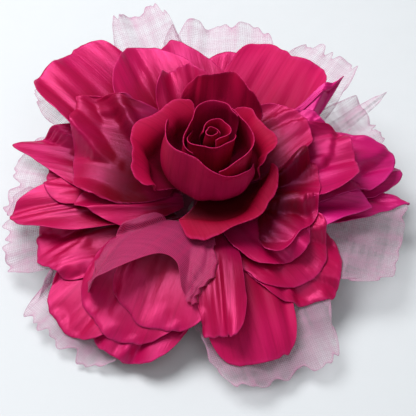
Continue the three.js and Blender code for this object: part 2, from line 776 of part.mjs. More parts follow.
// middle petals
addPetal('middle_petal_03', satin, {
  at: 26, base: [9.5, 13.2], tip: [50, 28], half: 13, bend: -10, cup: [35, 25], tilt: 20,
});
addPetal('middle_petal_04', satin, {
  at: 9, base: [9.5, 14.2], tip: [56, 25], half: 16, bend: -5, cup: [30, 25], end: 'square',
});
addPetal('middle_petal_06', satin, {
  at: -86, base: [9.5, 13.2], tip: [63, 10], half: 10, bend: -50, cup: [-50, -25],
  end: 'square', corner: 0.9, twist: 35,
});
addPetal('middle_petal_05', satin, {
  at: -41, base: [9.5, 14.4], tip: [45, 15], half: 15, bend: -35, cup: [12, -12], end: 'soft',
  ruffle: 4, waves: 1.3, phase: 0.5,
});
addPetal('organza_trumpet', organza, {
  at: -119, base: [17, 14.8], tip: [57, 27], half: 28, bend: -10, late: 1, cup: [-50, -95],
  claw: 0.5, corner: 0.75, notch: 0.5, dent: 0.4, dentAt: 0.18, skew: -0.2,
});
addPetal('middle_petal_08', satin, {
  at: 161, base: [12, 15.4], tip: [54, 20], half: 21, bend: -70, late: 1.8, cup: [16, 25],
  end: 'square', corner: 0.75, tilt: -18, skew: -0.1,
});

// petals that stand round the bud
addPetal('inner_petal_4', satin, {
  at: 105, base: [9.5, 16.4], tip: [43, 40], half: 13, bend: -20, late: 2, cup: [30, 40],
});
addPetal('inner_petal_2', satin, {
  at: 33, base: [13.8, 16.8], tip: [43, 31], half: 17, bend: -5, late: 2, cup: [40, 35],
  corner: 0.6,
});
addPetal('inner_petal_3', satin, {
  at: -22, base: [22, 15], tip: [42, 19], half: 21, bend: 35, cup: [10, 35], claw: 0.22,
  corner: 0.65,
});
addPetal('inner_petal_1', budCloth, {
  at: 78, base: [15.8, 18], tip: [33, 46], half: 16.5, bend: 25, late: 1, cup: [20, 45],
});

// loose outer petals of the bud
addPetal('collar_petal_front', budCloth, {
  at: -62, base: [10.6, 22.1], tip: [21.5, 27.6], wrap: 60, slant: 8, close: -3.5, drift: 1.2,
  corner: 0.8,
});
addPetal('collar_petal_right', budCloth, {
  at: 24, base: [8.2, 21.6], tip: [18.2, 43], wrap: 46, close: -2, drift: -0.6, lean: 2,
  corner: 0.75,
});
addPetal('collar_petal_left', budCloth, {
  at: 155, base: [8.8, 21.2], tip: [20, 40], wrap: 54, slant: -5, close: -5, drift: 0.6,
  lean: -1, end: 'soft', corner: 0.8,
});

// the bud, from its outermost petal to the rolled strip at its middle
addPetal('heart_petal_6', budCloth, {
  at: -110, base: [6.9, 20], tip: [17.1, 49], wrap: 88, slant: -7, close: 2.4, drift: -0.7,
  lean: 2.0, end: 'point', corner: 0.84,
});
addPetal('heart_petal_5', budCloth, {
  at: 10, base: [6.2, 20.6], tip: [14.2, 50.5], wrap: 92, slant: 3, close: 2.2, drift: -0.7,
  lean: 2.0, end: 'point', corner: 0.84,
});
addPetal('heart_petal_4', budCloth, {
  at: 130, base: [5.3, 21.2], tip: [11.3, 53], wrap: 98, slant: -3, close: 1.8, drift: -0.8,
  lean: 2.0, end: 'point', corner: 0.84,
});
addPetal('heart_petal_3', budCloth, {
  at: 250, base: [4.2, 22], tip: [8.4, 51], wrap: 104, slant: 2.5, close: 1.2, drift: -0.9,
  lean: 2.0, end: 'point', corner: 0.84,
});
addPetal('heart_petal_2', budCloth, {
  at: 40, base: [3, 36.5], tip: [5.6, 51], wrap: 120, slant: -2, close: 0.6, drift: -0.9,
  lean: 2.0, end: 'point', corner: 0.84,
});
addPetal('heart_petal_1', budCloth, {
  at: 190, base: [1.2, 37], tip: [2.6, 49.5], wrap: 165, slant: 1.5, close: 0.3, drift: -0.9,
  lean: 2.0, end: 'point', corner: 0.84,
});

export default clip;
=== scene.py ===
# %% [markdown]
# # A fabric rose on a hair clip
# The object is a big rose made of cut cloth: about forty satin petals and some sheer organza scraps
# glued one on another round a bud, on a sprung metal clip. The hard parts come from the CAD frame
# and only get a finish here. Every piece of cloth is made again in this script, because a CAD solid
# can't fold, crease or fray.

# %% Load the frame
import json
import math

import bpy
import numpy as np
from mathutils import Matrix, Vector


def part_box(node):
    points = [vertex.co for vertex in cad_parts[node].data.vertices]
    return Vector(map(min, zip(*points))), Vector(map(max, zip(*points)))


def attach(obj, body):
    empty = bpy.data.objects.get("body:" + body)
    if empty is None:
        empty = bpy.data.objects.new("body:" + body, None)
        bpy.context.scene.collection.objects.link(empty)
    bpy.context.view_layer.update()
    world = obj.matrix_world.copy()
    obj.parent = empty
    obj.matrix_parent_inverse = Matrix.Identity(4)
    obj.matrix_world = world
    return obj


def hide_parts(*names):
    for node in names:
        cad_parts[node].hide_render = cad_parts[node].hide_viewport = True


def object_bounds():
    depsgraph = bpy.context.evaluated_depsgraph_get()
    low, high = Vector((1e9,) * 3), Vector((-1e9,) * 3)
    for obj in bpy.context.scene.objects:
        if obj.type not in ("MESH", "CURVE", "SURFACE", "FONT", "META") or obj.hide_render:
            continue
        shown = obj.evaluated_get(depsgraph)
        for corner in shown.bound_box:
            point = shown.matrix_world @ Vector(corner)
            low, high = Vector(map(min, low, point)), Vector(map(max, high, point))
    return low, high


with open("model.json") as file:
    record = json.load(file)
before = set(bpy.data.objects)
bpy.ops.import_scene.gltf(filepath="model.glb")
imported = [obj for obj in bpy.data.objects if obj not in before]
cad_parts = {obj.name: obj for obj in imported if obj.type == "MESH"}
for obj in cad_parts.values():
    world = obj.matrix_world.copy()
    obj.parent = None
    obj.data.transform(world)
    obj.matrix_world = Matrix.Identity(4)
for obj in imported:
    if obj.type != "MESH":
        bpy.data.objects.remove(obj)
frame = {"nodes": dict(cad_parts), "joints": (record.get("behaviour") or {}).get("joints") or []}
cad_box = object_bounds()
MM = 0.001
print("CAD box in metres:", [[round(x, 4) for x in corner] for corner in cad_box])

# %% [markdown]
# ## Camera, floor and light
# The rose lies on a pale table and is seen from the front, half from above. A long lens from
# 60 cm keeps the petals in proportion. One broad soft lamp stands behind and to the left, as a
# window would. A weaker one in front and the pale surroundings fill the shadows.

# %% Camera
CAMERA_RAISE = math.radians(50)
CAMERA_DISTANCE = 0.60
LENS_MM = 137
aim = Vector((0, 0, 0.006))
camera = bpy.data.objects.new("camera", bpy.data.cameras.new("camera"))
bpy.context.scene.collection.objects.link(camera)
away = Vector((0, -math.cos(CAMERA_RAISE), math.sin(CAMERA_RAISE)))
camera.location = aim + away * CAMERA_DISTANCE
camera.rotation_euler = (-away).to_track_quat("-Z", "Y").to_euler()
camera.data.lens = LENS_MM
bpy.context.scene.camera = camera
print("camera at", [round(x, 3) for x in camera.location])

# %% Lamps and surroundings
FLOOR_Z = cad_box[0][2] - 0.0002  # a hair below the lowest point, so nothing touches
LAMPS_FACE = Vector((0, 0, 0.02))
SURROUNDINGS = {"Color": (0.93, 0.97, 1, 1), "Strength": 0.28}


def lamp(name, place, width, watts, colour):
    """A square soft lamp that faces the flower."""
    data = bpy.data.lights.new(name, "AREA")
    data.size = width
    data.energy = watts
    data.color = colour
    lamp_object = bpy.data.objects.new(name, data)
    bpy.context.scene.collection.objects.link(lamp_object)
    lamp_object.location = place
    facing = LAMPS_FACE - Vector(place)
    lamp_object.rotation_euler = facing.to_track_quat("-Z", "Y").to_euler()


lamp("window", (-0.28, 0.20, 0.72), 0.46, 7.4, (0.98, 0.98, 1))
lamp("front_fill", (0.12, -0.50, 0.80), 0.60, 1.5, (0.95, 0.97, 1))
world = bpy.data.worlds.new("studio")
bpy.context.scene.world = world
world.use_nodes = True
for socket, content in SURROUNDINGS.items():
    world.node_tree.nodes["Background"].inputs[socket].default_value = content
bpy.context.scene.view_settings.view_transform = "Standard"
print("floor at", round(FLOOR_Z, 4))

# %% [markdown]
# ## Writing materials as sums
# A cloth finish is a sum of small effects: the dye, the thread, the paler cut edge. `Value` wraps one
# socket of a material, and arithmetic on it adds the Math nodes, so a mask is written as
# `1 - rim * 0.4`. Colours go through Mix nodes, because a Math node would turn them grey.
# `Finish.add` makes any other node from its type, its settings and what goes into its sockets.

# %% The Value and Finish classes


class Value:
    """A number inside a material; arithmetic on it adds Math nodes."""

    def __init__(self, finish, socket):
        self.finish = finish
        self.socket = socket

    def math(self, operation, first, second):
        return self.finish.add("ShaderNodeMath", {"operation": operation}, {0: first, 1: second})

    def __add__(self, other):
        return self.math("ADD", self, other)

    def __radd__(self, other):
        return self.math("ADD", other, self)

    def __sub__(self, other):
        return self.math("SUBTRACT", self, other)

    def __rsub__(self, other):
        return self.math("SUBTRACT", other, self)

    def __mul__(self, other):
        return self.math("MULTIPLY", self, other)

    def __rmul__(self, other):
        return self.math("MULTIPLY", other, self)

    def __pow__(self, other):
        return self.math("POWER", self, other)

    def __abs__(self):
        return self.math("ABSOLUTE", self, 0)


class Finish:
    """One material: its Principled shader and the nodes that feed it."""

    def __init__(self, name, **uniform):
        self.material = bpy.data.materials.new(name)
        self.material.use_nodes = True
        self.tree = self.material.node_tree
        self.shader = self.tree.nodes["Principled BSDF"]
        for socket, number in uniform.items():
            self.shader.inputs[socket.replace("_", " ")].default_value = number

    def add(self, kind, settings=None, inputs=None, output=0):
        """A node of any kind, as the Value of one of its outputs."""
        node = self.tree.nodes.new(kind)
        for name, setting in (settings or {}).items():
            setattr(node, name, setting)
        for socket, content in (inputs or {}).items():
            self.feed(node.inputs[socket], content)
        return Value(self, node.outputs[output])

    def feed(self, socket, content):
        if isinstance(content, Value):
            self.tree.links.new(content.socket, socket)
        elif isinstance(content, tuple) and socket.type == "RGBA":
            socket.default_value = (*content, 1)
        else:
            socket.default_value = content

    def blend(self, factor, one, other):
        """A colour between two colours."""
        return self.add("ShaderNodeMix", {"data_type": "RGBA"}, {0: factor, 6: one, 7: other}, 2)

    def noise(self, where, scale, detail=2.0, rough=0.5):
        sockets = {"Vector": where, "Scale": scale, "Detail": detail, "Roughness": rough}
        return self.add("ShaderNodeTexNoise", None, sockets)

    def stretch(self, where, by):
        """The same pattern drawn out or squeezed along its axes."""
        return self.add("ShaderNodeMapping", None, {"Vector": where, "Scale": by})

    def part(self, where, axis):
        return self.add("ShaderNodeSeparateXYZ", None, {0: where}, axis)

    def fade(self, value, start, end, most=1.0):
        """0 where the value is start, rising to most where it is end."""
        sockets = {0: value, 1: start, 2: end, 3: 0.0, 4: most}
        return self.add("ShaderNodeMapRange", None, sockets)

    def raised(self, height, distance, strength=1.0):
        """Bumps for what is too fine to model; distance is in metres."""
        sockets = {"Height": height, "Distance": distance, "Strength": strength}
        bump = self.add("ShaderNodeBump", None, sockets)
        self.feed(self.shader.inputs["Normal"], bump)

    def set(self, **links):
        """Feed the Principled sockets, whose spaces are written as underscores."""
        for socket, content in links.items():
            self.feed(self.shader.inputs[socket.replace("_", " ")], content)


print("Value and Finish are ready")

# %% [markdown]
# ## Cloth finishes
# All the petals come from one dye bath, a pink crimson, but the cloths differ. Satin has long
# floating threads and throws broad violet-pink lights. It comes in three copies: the usual one, a
# darker one with painted shade for six petals that lie in the shade of others, and a paler, pinker
# one with painted light for six at the right that look lit from behind. The cotton petals and the
# bud are matter; organza is a net of fine stiff threads that lets most of the light through. Each
# petal mesh carries two maps: `cloth` gives the flat place on the bolt, one unit to 100 mm, and
# `place` gives how far across and how far up the petal a point lies. With them the threads run
# along each petal, the cut edge can be made paler, where fibres have come loose, and each petal
# gets painted shade at its claw and painted light at its cut end.

# %% Masks that all the cloths share
RIM = 0.045  # width of the frayed edge, as a share of the petal


def rim_mask(finish):
    """1 on the cut edge of a petal and 0 further in than the frayed edge."""
    place = finish.add("ShaderNodeUVMap", {"uv_map": "place"})
    sideways = abs(finish.part(place, 0) * 2 - 1)
    upwards = finish.part(place, 1)
    edge = finish.add("ShaderNodeMath", {"operation": "MAXIMUM"}, {0: sideways, 1: upwards})
    return finish.fade(edge, 1 - RIM, 1.0)


def up_petal(finish):
    """0 at the claw of a petal and 1 at its cut end."""
    return finish.part(finish.add("ShaderNodeUVMap", {"uv_map": "place"}), 1)


def bolt(finish):
    """The flat place on the bolt of cloth."""
    return finish.add("ShaderNodeUVMap", {"uv_map": "cloth"})


def both_ways(finish, cloth, threads, wobble):
    """Bands along the cloth and bands across it, as the warp and the weft lie."""
    sockets = {"Vector": cloth, "Scale": threads, "Distortion": wobble, "Detail": 1.0}
    return [finish.add("ShaderNodeTexWave", {"bands_direction": way}, sockets) for way in "XY"]


# %% Dyed petal cloth
PAINTED_SHADE_SPAN = 0.65  # share of the petal over which the painted shade at the claw fades out
PAINTED_LIGHT_FROM, PAINTED_LIGHT_MOST = 0.6, 0.3  # where the painted light on the tip starts, and how strong it is at the cut end
LIGHT_THROUGH = 0.12


def petal_cloth(name, deep, body, lit, rim, rough, thread, glow, reach=0.9, **uniform):
    """Dyed cloth, with painted shade and painted light. body is its dye. deep is painted shade,
    darkest at the claw, and also the dye of darker streaks; lit is painted light towards the cut
    end, and also the dye of paler patches. rim is the dye of the cut edge, glow the colour of light
    that has come through. The painted shade of the claw has faded out at reach, a share of the
    petal's length."""
    finish = Finish(name, **uniform)
    cloth = bolt(finish)
    patches = finish.noise(cloth, 2.3, 3, 0.6)
    streaks = finish.noise(finish.stretch(cloth, (60, 2.2, 1)), 1.6, 3, 0.55)
    slubs = finish.noise(finish.stretch(cloth, (150, 22, 1)), 1, 1, 0.5)
    # Painted shade: the dye darkens towards deep at the claw, where the petals above shade it.
    dye = finish.blend(finish.fade(up_petal(finish), reach, reach - PAINTED_SHADE_SPAN), body, deep)
    # Painted light: the dye pales towards lit at the cut end, where the petal lies open to the lamp.
    dye = finish.blend(finish.fade(up_petal(finish), PAINTED_LIGHT_FROM, 1.0, PAINTED_LIGHT_MOST), dye, lit)
    lot = finish.noise(cloth, 0.45, 1, 0.5)
    dye = finish.blend((patches - 0.42) * 2.2 + (lot - 0.5) * 1.6, dye, lit)
    dye = finish.blend((streaks - 0.5) * 1.1, dye, deep)
    edge = rim_mask(finish) ** 2 * (slubs * 1.5 - 0.35)
    dye = finish.blend(edge, dye, rim)
    finish.set(Base_Color=dye, Roughness=rough + (streaks - 0.5) * 0.3 + (patches - 0.5) * 0.15)
    along, over = both_ways(finish, cloth, thread, 1.5)
    finish.raised(streaks * 0.8 + slubs * 0.4 + (along + over) * 0.12, 0.0003, 0.45)
    sheen = Value(finish, finish.shader.outputs[0])
    through = finish.add("ShaderNodeBsdfTranslucent", None, {"Color": glow})
    mixed = finish.add("ShaderNodeMixShader", None, {0: LIGHT_THROUGH, 1: sheen, 2: through})
    finish.feed(finish.tree.nodes["Material Output"].inputs["Surface"], mixed)
    return finish.material


CLOTH = {}
CLOTH["satin"] = petal_cloth(
    "satin", (0.12, 0.0003, 0.003), (0.48, 0.0015, 0.046), (0.60, 0.005, 0.130), (0.70, 0.03, 0.20),
    0.36, 90, (0.72, 0.002, 0.085), Metallic=0.18, Specular_IOR_Level=0.5,
    Specular_Tint=(1, 0.42, 1, 1),
)
# A darker copy of satin: painted shade for six petals that lie in the shade of others, with the
# painted claw shade reaching over the whole petal.
CLOTH["shaded_satin"] = petal_cloth(
    "shaded_satin", (0.10, 0.0003, 0.002), (0.42, 0.0012, 0.030), (0.60, 0.005, 0.130),
    (0.70, 0.03, 0.20), 0.38, 90, (0.66, 0.001, 0.05), reach=1.05, Metallic=0.14,
    Specular_IOR_Level=0.4, Specular_Tint=(1, 0.42, 1, 1),
)
# A paler, pinker copy of satin: painted light for six petals at the right, where light seems to come
# through from behind.
CLOTH["backlit_satin"] = petal_cloth(
    "backlit_satin", (0.20, 0.0006, 0.012), (0.55, 0.004, 0.110), (0.66, 0.010, 0.22), (0.76, 0.05, 0.31),
    0.36, 90, (0.80, 0.008, 0.20), Metallic=0.15, Specular_IOR_Level=0.5,
    Specular_Tint=(1, 0.45, 1, 1),
)
CLOTH["cotton"] = petal_cloth(
    "cotton", (0.15, 0.0004, 0.006), (0.54, 0.0024, 0.070), (0.62, 0.006, 0.115), (0.70, 0.03, 0.20),
    0.62, 60, (0.72, 0.002, 0.085), Specular_IOR_Level=0.25, Specular_Tint=(1, 0.5, 0.9, 1),
)
CLOTH["budCloth"] = petal_cloth(
    "bud_cloth", (0.06, 0.0002, 0.002), (0.38, 0.0011, 0.024), (0.46, 0.003, 0.070),
    (0.72, 0.03, 0.18), 0.60, 60, (0.62, 0.001, 0.04), Specular_IOR_Level=0.18,
    Specular_Tint=(1, 0.45, 0.8, 1),
)
print("petal cloths:", sorted(CLOTH))

# %% [markdown]
# Organza is woven from single stiff filaments with air between them, so it is drawn as a net: two
# sets of bands, one each way, and the mask of both is the cloth's alpha. Loose filaments make it
# denser along the cut edge and in stripes where the weave has slipped.

# %% Organza


def organza(name, thread_colour, fold_colour, cover, threads, **uniform):
    """A net of filaments. cover is how much of the light it stops."""
    finish = Finish(name, Sheen_Roughness=0.3, Sheen_Tint=(1, 0.8, 0.9, 1), **uniform)
    cloth = bolt(finish)
    slipped = finish.noise(finish.stretch(cloth, (26, 3, 1)), 1.2, 3, 0.6)
    crossed = finish.noise(finish.stretch(cloth, (3, 26, 1)), 1.2, 3, 0.6)
    along, over = both_ways(finish, cloth, threads, 1.2)
    weave = along * 0.5 + over * 0.5
    rim = rim_mask(finish)
    cover_here = cover * (0.45 + weave * 0.75) + (slipped + crossed - 1) * 0.5 + rim ** 2 * 0.25
    clean = finish.add("ShaderNodeClamp", None, {0: cover_here, 1: 0.05, 2: 0.95})
    dye = finish.blend(slipped * 1.2 - 0.2, thread_colour, fold_colour)
    dye = finish.blend(rim ** 2 * 0.5, dye, fold_colour)
    finish.set(Base_Color=dye, Roughness=0.45 + slipped * 0.2, Alpha=clean)
    finish.raised(weave, 0.0002, 0.4)
    return finish.material


CLOTH["organza"] = organza("organza", (0.64, 0.46, 0.55), (0.60, 0.20, 0.38), 0.28, 44,
                           Sheen_Weight=0.3, Specular_IOR_Level=0.6)
CLOTH["trumpet"] = organza("organza_folded", (0.45, 0.040, 0.15), (0.48, 0.006, 0.09), 0.84, 60,
                           Sheen_Weight=0.12, Specular_IOR_Level=0.3)
print("organza: a net of filaments")

# %% [markdown]
# ## Shape of one petal
# A fabric petal is cut flat, dyed, and pressed with a warm ball tool, which gives it a bend along
# its length and a bow across. So the shape starts as a grid on the flat cloth: `share` runs from the
# glued claw to the cut end, `across` from one side edge to the other. The rib up the middle bends
# until it ends where the table says, and each row of the grid is laid over it like a rafter. Then
# come the folds that no tool made: creases along the threads, and a flutter that grows to the edge.

# %% The cut outline
ROWS, COLUMNS = 44, 40
RIB_STEPS = 96
END_SHAPES = {"round": (2, 0.5), "square": (5, 0.5), "soft": (1.6, 0.6), "point": (1.1, 0.8)}
CLAW = 0.3  # width at the claw, as a share of the widest
BELLY = 0.5  # where a petal is widest, as a share of its length
TAPER = 0.08  # how much narrower it is again at the cut end
THREE_SIDED, FIVE_SIDED, FOLD_TURN = 0.09, 0.04, 0.1  # how the bud's rings differ from circles
WHOLE_TURN = 6.28  # upper end of a random phase, in radians
NIBBLES = 0.6  # fine nibbles in a cut edge, as a share of its slow waves
NEARLY_FLAT = 1e-3  # the least bow across, in radians, so that it can be divided by


def wander(count, dice, fine):
    """A random line of about -1 to 1: slow waves and, as a share of them, fine nibbles."""
    slow = np.interp(np.arange(count), np.linspace(0, count - 1, 9), dice.normal(size=9))
    quick = np.convolve(dice.normal(size=count + 2), (0.25, 0.5, 0.25), "valid")
    return (1 - fine) * slow * 0.6 + fine * quick


def cut_line(petal, across, dice):
    """How far up the petal each strand of cloth runs before the scissors cut it."""
    power, root = END_SHAPES[petal["end"]]
    bow = np.clip(1 - np.abs(across) ** power, 0, 1) ** root
    line = petal["corner"] + (1 - petal["corner"]) * bow
    line = line - petal["notch"] * np.exp(-(((across - petal["dent_at"]) / petal["dent"]) ** 2))
    ragged = 1 + petal["fray"] * wander(across.size, dice, NIBBLES)
    return line * (1 + petal["skew"] * across) * ragged


def swell_to_belly(share):
    """0 at the claw, rising to 1 at the widest place."""
    return np.sin(np.clip(share / BELLY, 0, 1) * np.pi / 2) ** 0.9


def beyond(share, start):
    """0 as far as start, rising to 1 at the cut end."""
    return np.clip((share - start) / (1 - start), 0, 1)


def rib_of(petal):
    """Points, slopes and length of the rib, bent so that it ends at the tip it is given."""
    steps = np.linspace(0, 1, RIB_STEPS + 1)
    slope = np.radians(petal["bend"] * steps ** petal["late"])
    run = np.array([np.cos(slope), np.sin(slope)])
    run = ((run[:, 1:] + run[:, :-1]) / 2).mean(axis=1)
    base, tip = np.array(petal["base"], float), np.array(petal["tip"], float)
    length = np.linalg.norm(tip - base) / np.linalg.norm(run)
    slope = slope + np.arctan2(*(tip - base)[::-1]) - np.arctan2(run[1], run[0])
    heads = np.array([np.cos(slope), np.sin(slope)]).T
    path = np.cumsum((heads[1:] + heads[:-1]) / 2 * length / RIB_STEPS, axis=0)
    return np.vstack([base, base + path]), slope, length


print("rib and outline ready;", ROWS, "by", COLUMNS, "places on each petal")

# %% Creases and flutter


def creases(petal, share, across, dice):
    """How far the cloth stands off its smooth shape, in millimetres."""
    off = np.zeros(share.shape)
    for _ in range(petal["creases"]):
        middle = dice.uniform(-0.85, 0.85)
        drift = dice.uniform(-0.25, 0.25)
        width = dice.uniform(0.07, 0.2)
        deep = dice.uniform(0.35, 1.0) * dice.choice([-1, 1]) * petal["deep"]
        reach = dice.uniform(0.35, 0.75)
        line = np.exp(-(((across - middle - drift * (share - 0.5)) / width) ** 2))
        off += deep * line * np.exp(-(((share - reach) / 0.42) ** 2))
    edge = np.abs(across) ** 2.2
    phase = dice.uniform(0, WHOLE_TURN, 4)
    flutter = np.sin(share * dice.uniform(8, 12) + phase[0] + np.sign(across) * phase[1])
    end = np.sin(across * dice.uniform(3.5, 6.5) + phase[2]) + 0.5 * np.sin(across * 9 + phase[3])
    off += petal["flutter"] * (edge * flutter * share + 0.7 * end * share ** 4)
    if petal["ruffle"]:
        wave = np.sin(petal["waves"] * across * np.pi + petal["phase"])
        fold = np.sin(1.5 * share * np.pi * 2 + petal["phase"] * 1.7 + across)
        off += petal["ruffle"] * share ** 1.5 * 0.6 * (wave + np.abs(across) ** 1.5 * fold)
    return off


# %% An open petal, laid over its rib


def open_petal(petal, share, across, dice):
    path, slopes, length = rib_of(petal)
    steps = np.linspace(0, 1, RIB_STEPS + 1)
    within = np.clip(share, 0, 1)
    r, z, slope = (np.interp(within, steps, line) for line in (path[:, 0], path[:, 1], slopes))
    heading = math.radians(petal["at"])
    out = np.array([math.cos(heading), math.sin(heading), 0])
    side = np.array([-math.sin(heading), math.cos(heading), 0])
    up = np.cos(slope)[..., None] * np.array([0, 0, 1]) - np.sin(slope)[..., None] * out
    turn = np.radians(petal["tilt"] + petal["twist"] * share)[..., None]
    level = side * np.cos(turn) + up * np.sin(turn)
    face = up * np.cos(turn) - side * np.sin(turn)
    narrow = 1 - TAPER * beyond(share, BELLY) ** 2
    half = petal["half"] * (petal["claw"] + (1 - petal["claw"]) * swell_to_belly(share)) * narrow
    nibbled = np.stack([wander(share.shape[0], dice, NIBBLES) for _ in (0, 1)], axis=1)
    sides = np.where(across < 0, nibbled[:, :1], nibbled[:, 1:]) * np.abs(across) ** 6
    half = half * (1 + petal["fray"] * 1.3 * sides)
    cup = np.radians(petal["cup"][0] + (petal["cup"][1] - petal["cup"][0]) * share)
    bow = np.where(np.abs(cup) < NEARLY_FLAT, NEARLY_FLAT, cup)
    sideways = half * np.sin(bow * across) / bow
    rise = half * (1 - np.cos(bow * across)) / bow + creases(petal, share, across, dice)
    points = r[..., None] * out + z[..., None] * np.array([0, 0, 1])
    points = points + sideways[..., None] * level + rise[..., None] * face
    return points, np.stack([across * half, share * length], axis=-1)


# %% A wrapped petal, standing round the bud


def wrapped_petal(petal, share, across, dice):
    (base_r, base_z), (tip_r, tip_z) = petal["base"], petal["tip"]
    closing = petal["close"] * beyond(share, BELLY) ** 1.8
    lip = beyond(share, petal["lip_from"])
    radius = base_r + (tip_r - base_r) * swell_to_belly(share) - closing + petal["drift"] * across
    spread = np.radians(petal["wrap"]) * (1 - 0.2 * (1 - share) ** 2)
    angle = math.radians(petal["at"]) + across * spread
    three = THREE_SIDED * np.cos(3 * angle + 0.7 + radius * FOLD_TURN)
    five = FIVE_SIDED * np.cos(5 * angle + 2 - radius * FOLD_TURN)
    radius = radius * (1 + (three + five) * share)
    uneven = 0.65 + 0.55 * np.sin(across * dice.uniform(2, 4) + dice.uniform(0, WHOLE_TURN))
    radius = radius + petal["lip"] * uneven * lip ** 1.6
    radius = radius + creases(petal, share, across, dice) * min(1, tip_r / 12)
    height = base_z + (tip_z - base_z) * share + petal["slant"] * across * share
    height = height - petal["lip"] * 0.55 * uneven * lip ** 3
    points = np.stack([petal["lean"] * share + radius * np.cos(angle),
                       radius * np.sin(angle), height], axis=-1)
    length = math.hypot(tip_r - base_r, tip_z - base_z) + petal["lip"] * 0.6
    return points, np.stack([across * spread * np.maximum(radius, 2), share * length], axis=-1)


PETAL_DEFAULTS = dict(
    late=1.5, cup=(15, 15), tilt=0, twist=0, end="round", corner=0.7, notch=0, dent=0.22, dent_at=0,
    skew=0, ruffle=0, waves=1.5, phase=0, close=0, drift=0, lean=0, slant=0, claw=CLAW, wrap=0, lip=0,
    lip_from=0.8, fray=0.014, creases=5, deep=1.6, flutter=1.7,
)


def cut_petal(shape, seed):
    """A petal's points, their flat places and their shares, from its line in the table."""
    petal = {**PETAL_DEFAULTS, **shape}
    dice = np.random.RandomState(seed)
    even = np.linspace(-1, 1, COLUMNS + 1)
    across = 0.65 * even + 0.35 * np.sin(even * np.pi / 2)
    line = cut_line(petal, across, dice)
    up = np.linspace(0, 1, ROWS + 1)
    share = up[:, None] * line[None, :]
    across = np.broadcast_to(across[None, :], share.shape)
    maker = wrapped_petal if petal["wrap"] else open_petal
    points, flat = maker(petal, share, across, dice)
    place = np.stack([(across + 1) / 2, np.broadcast_to(up[:, None], share.shape)], axis=-1)
    return points, flat, place


print("petal shapes ready")

# %% [markdown]
# ## Laying the petals on each other
# On the bench each petal is pressed onto the ones already glued, and where it meets them it rides
# up over their edges. That is where a cloth rose gets most of its wrinkles. A cloth simulation of
# fifty crossing sheets would take far too long, so the pile is kept as a field of heights: a new
# petal is raised wherever it would come closer than one cloth to the field, and is then added.

# %% The pile
CELL = 0.6
FIELD_HALF = 96.0
CELLS = int(2 * FIELD_HALF / CELL)
EMPTY = -999.0
CLOTH_GAP = 0.45  # middle of one cloth to middle of the next
LIFTS = 8  # most times that one petal is raised
CLOSE_ENOUGH = 0.03
pile = np.full((CELLS, CELLS), EMPTY)


def facet_points(points, count):
    """Places inside every facet of the grid, count by count of them."""
    part = (np.arange(count) + 0.5) / count
    a, b = part[None, :, None, None, None], part[None, None, None, :, None]
    p = points
    return (
        p[:-1, None, :-1, None] * (1 - a) * (1 - b) + p[1:, None, :-1, None] * a * (1 - b)
        + p[:-1, None, 1:, None] * (1 - a) * b + p[1:, None, 1:, None] * a * b
    )


def clear_heights(gap):
    """The pile grown by a ball of that radius: the lowest height that keeps the gap."""
    grown = pile + gap
    reach = int(np.ceil(gap / CELL))
    for i in range(-reach, reach + 1):
        for j in range(-reach, reach + 1):
            flat = (i * i + j * j) * CELL ** 2
            if 0 < flat < gap * gap:
                moved = np.roll(np.roll(pile, i, 0), j, 1) + math.sqrt(gap * gap - flat)
                grown = np.maximum(grown, moved)
    return grown


def read_height(field, x, y):
    """The height of the field between its cells, or EMPTY where nothing lies."""
    fx = np.clip((x + FIELD_HALF) / CELL - 0.5, 0, CELLS - 1.001)
    fy = np.clip((y + FIELD_HALF) / CELL - 0.5, 0, CELLS - 1.001)
    i, j = fx.astype(int), fy.astype(int)
    a, b = fx - i, fy - j
    heights = np.stack([field[i, j], field[i + 1, j], field[i, j + 1], field[i + 1, j + 1]])
    weights = np.stack([(1 - a) * (1 - b), a * (1 - b), (1 - a) * b, a * b])
    weights = weights * (heights > EMPTY / 2)
    total = weights.sum(axis=0)
    return np.where(total > 0.05, (heights * weights).sum(axis=0) / np.maximum(total, 1e-9), EMPTY)


def lay_on_pile(points):
    """The petal raised clear of the pile, which then holds it too."""
    clear = clear_heights(CLOTH_GAP)
    for _ in range(LIFTS):
        inside = facet_points(points, 2)
        rest = read_height(clear, inside[..., 0], inside[..., 1])
        need = np.where(rest > EMPTY / 2, rest - inside[..., 2], 0)
        need = np.maximum(need, 0).max(axis=(1, 3))
        if need.max() < CLOSE_ENOUGH:
            break
        lift = np.zeros(points.shape[:2])
        for a in (0, 1):
            for b in (0, 1):
                corner = lift[a:a + ROWS, b:b + COLUMNS]
                np.maximum(corner, need, out=corner)
        points = points + lift[..., None] * np.array([0, 0, 1])
    inside = facet_points(points, 5).reshape(-1, 3)
    i, j = (np.clip(((inside[:, k] + FIELD_HALF) / CELL).astype(int), 0, CELLS - 1) for k in (0, 1))
    np.maximum.at(pile, (i, j), inside[:, 2])
    return points


print("pile field:", CELLS, "by", CELLS, "cells of", CELL, "mm")

# %% [markdown]
# ## From a grid to a piece of cloth
# Each petal becomes its own object: the grid is the middle of the cloth, one round of subdivision
# takes the facets out, and Solidify gives it two faces and a cut edge. Its flat area comes from the
# same grid, so the printed size is the size that was cut.

# %% Making the cloth object
SATIN_THICK = 0.30
ORGANZA_THICK = 0.10


def new_object(name, vertices, faces, finish, smooth=True):
    """An object from vertices in metres and faces."""
    mesh = bpy.data.meshes.new(name)
    mesh.from_pydata(vertices, [], faces)
    mesh.polygons.foreach_set("use_smooth", [smooth] * len(faces))
    mesh.materials.append(finish)
    made = bpy.data.objects.new(name, mesh)
    bpy.context.scene.collection.objects.link(made)
    return made


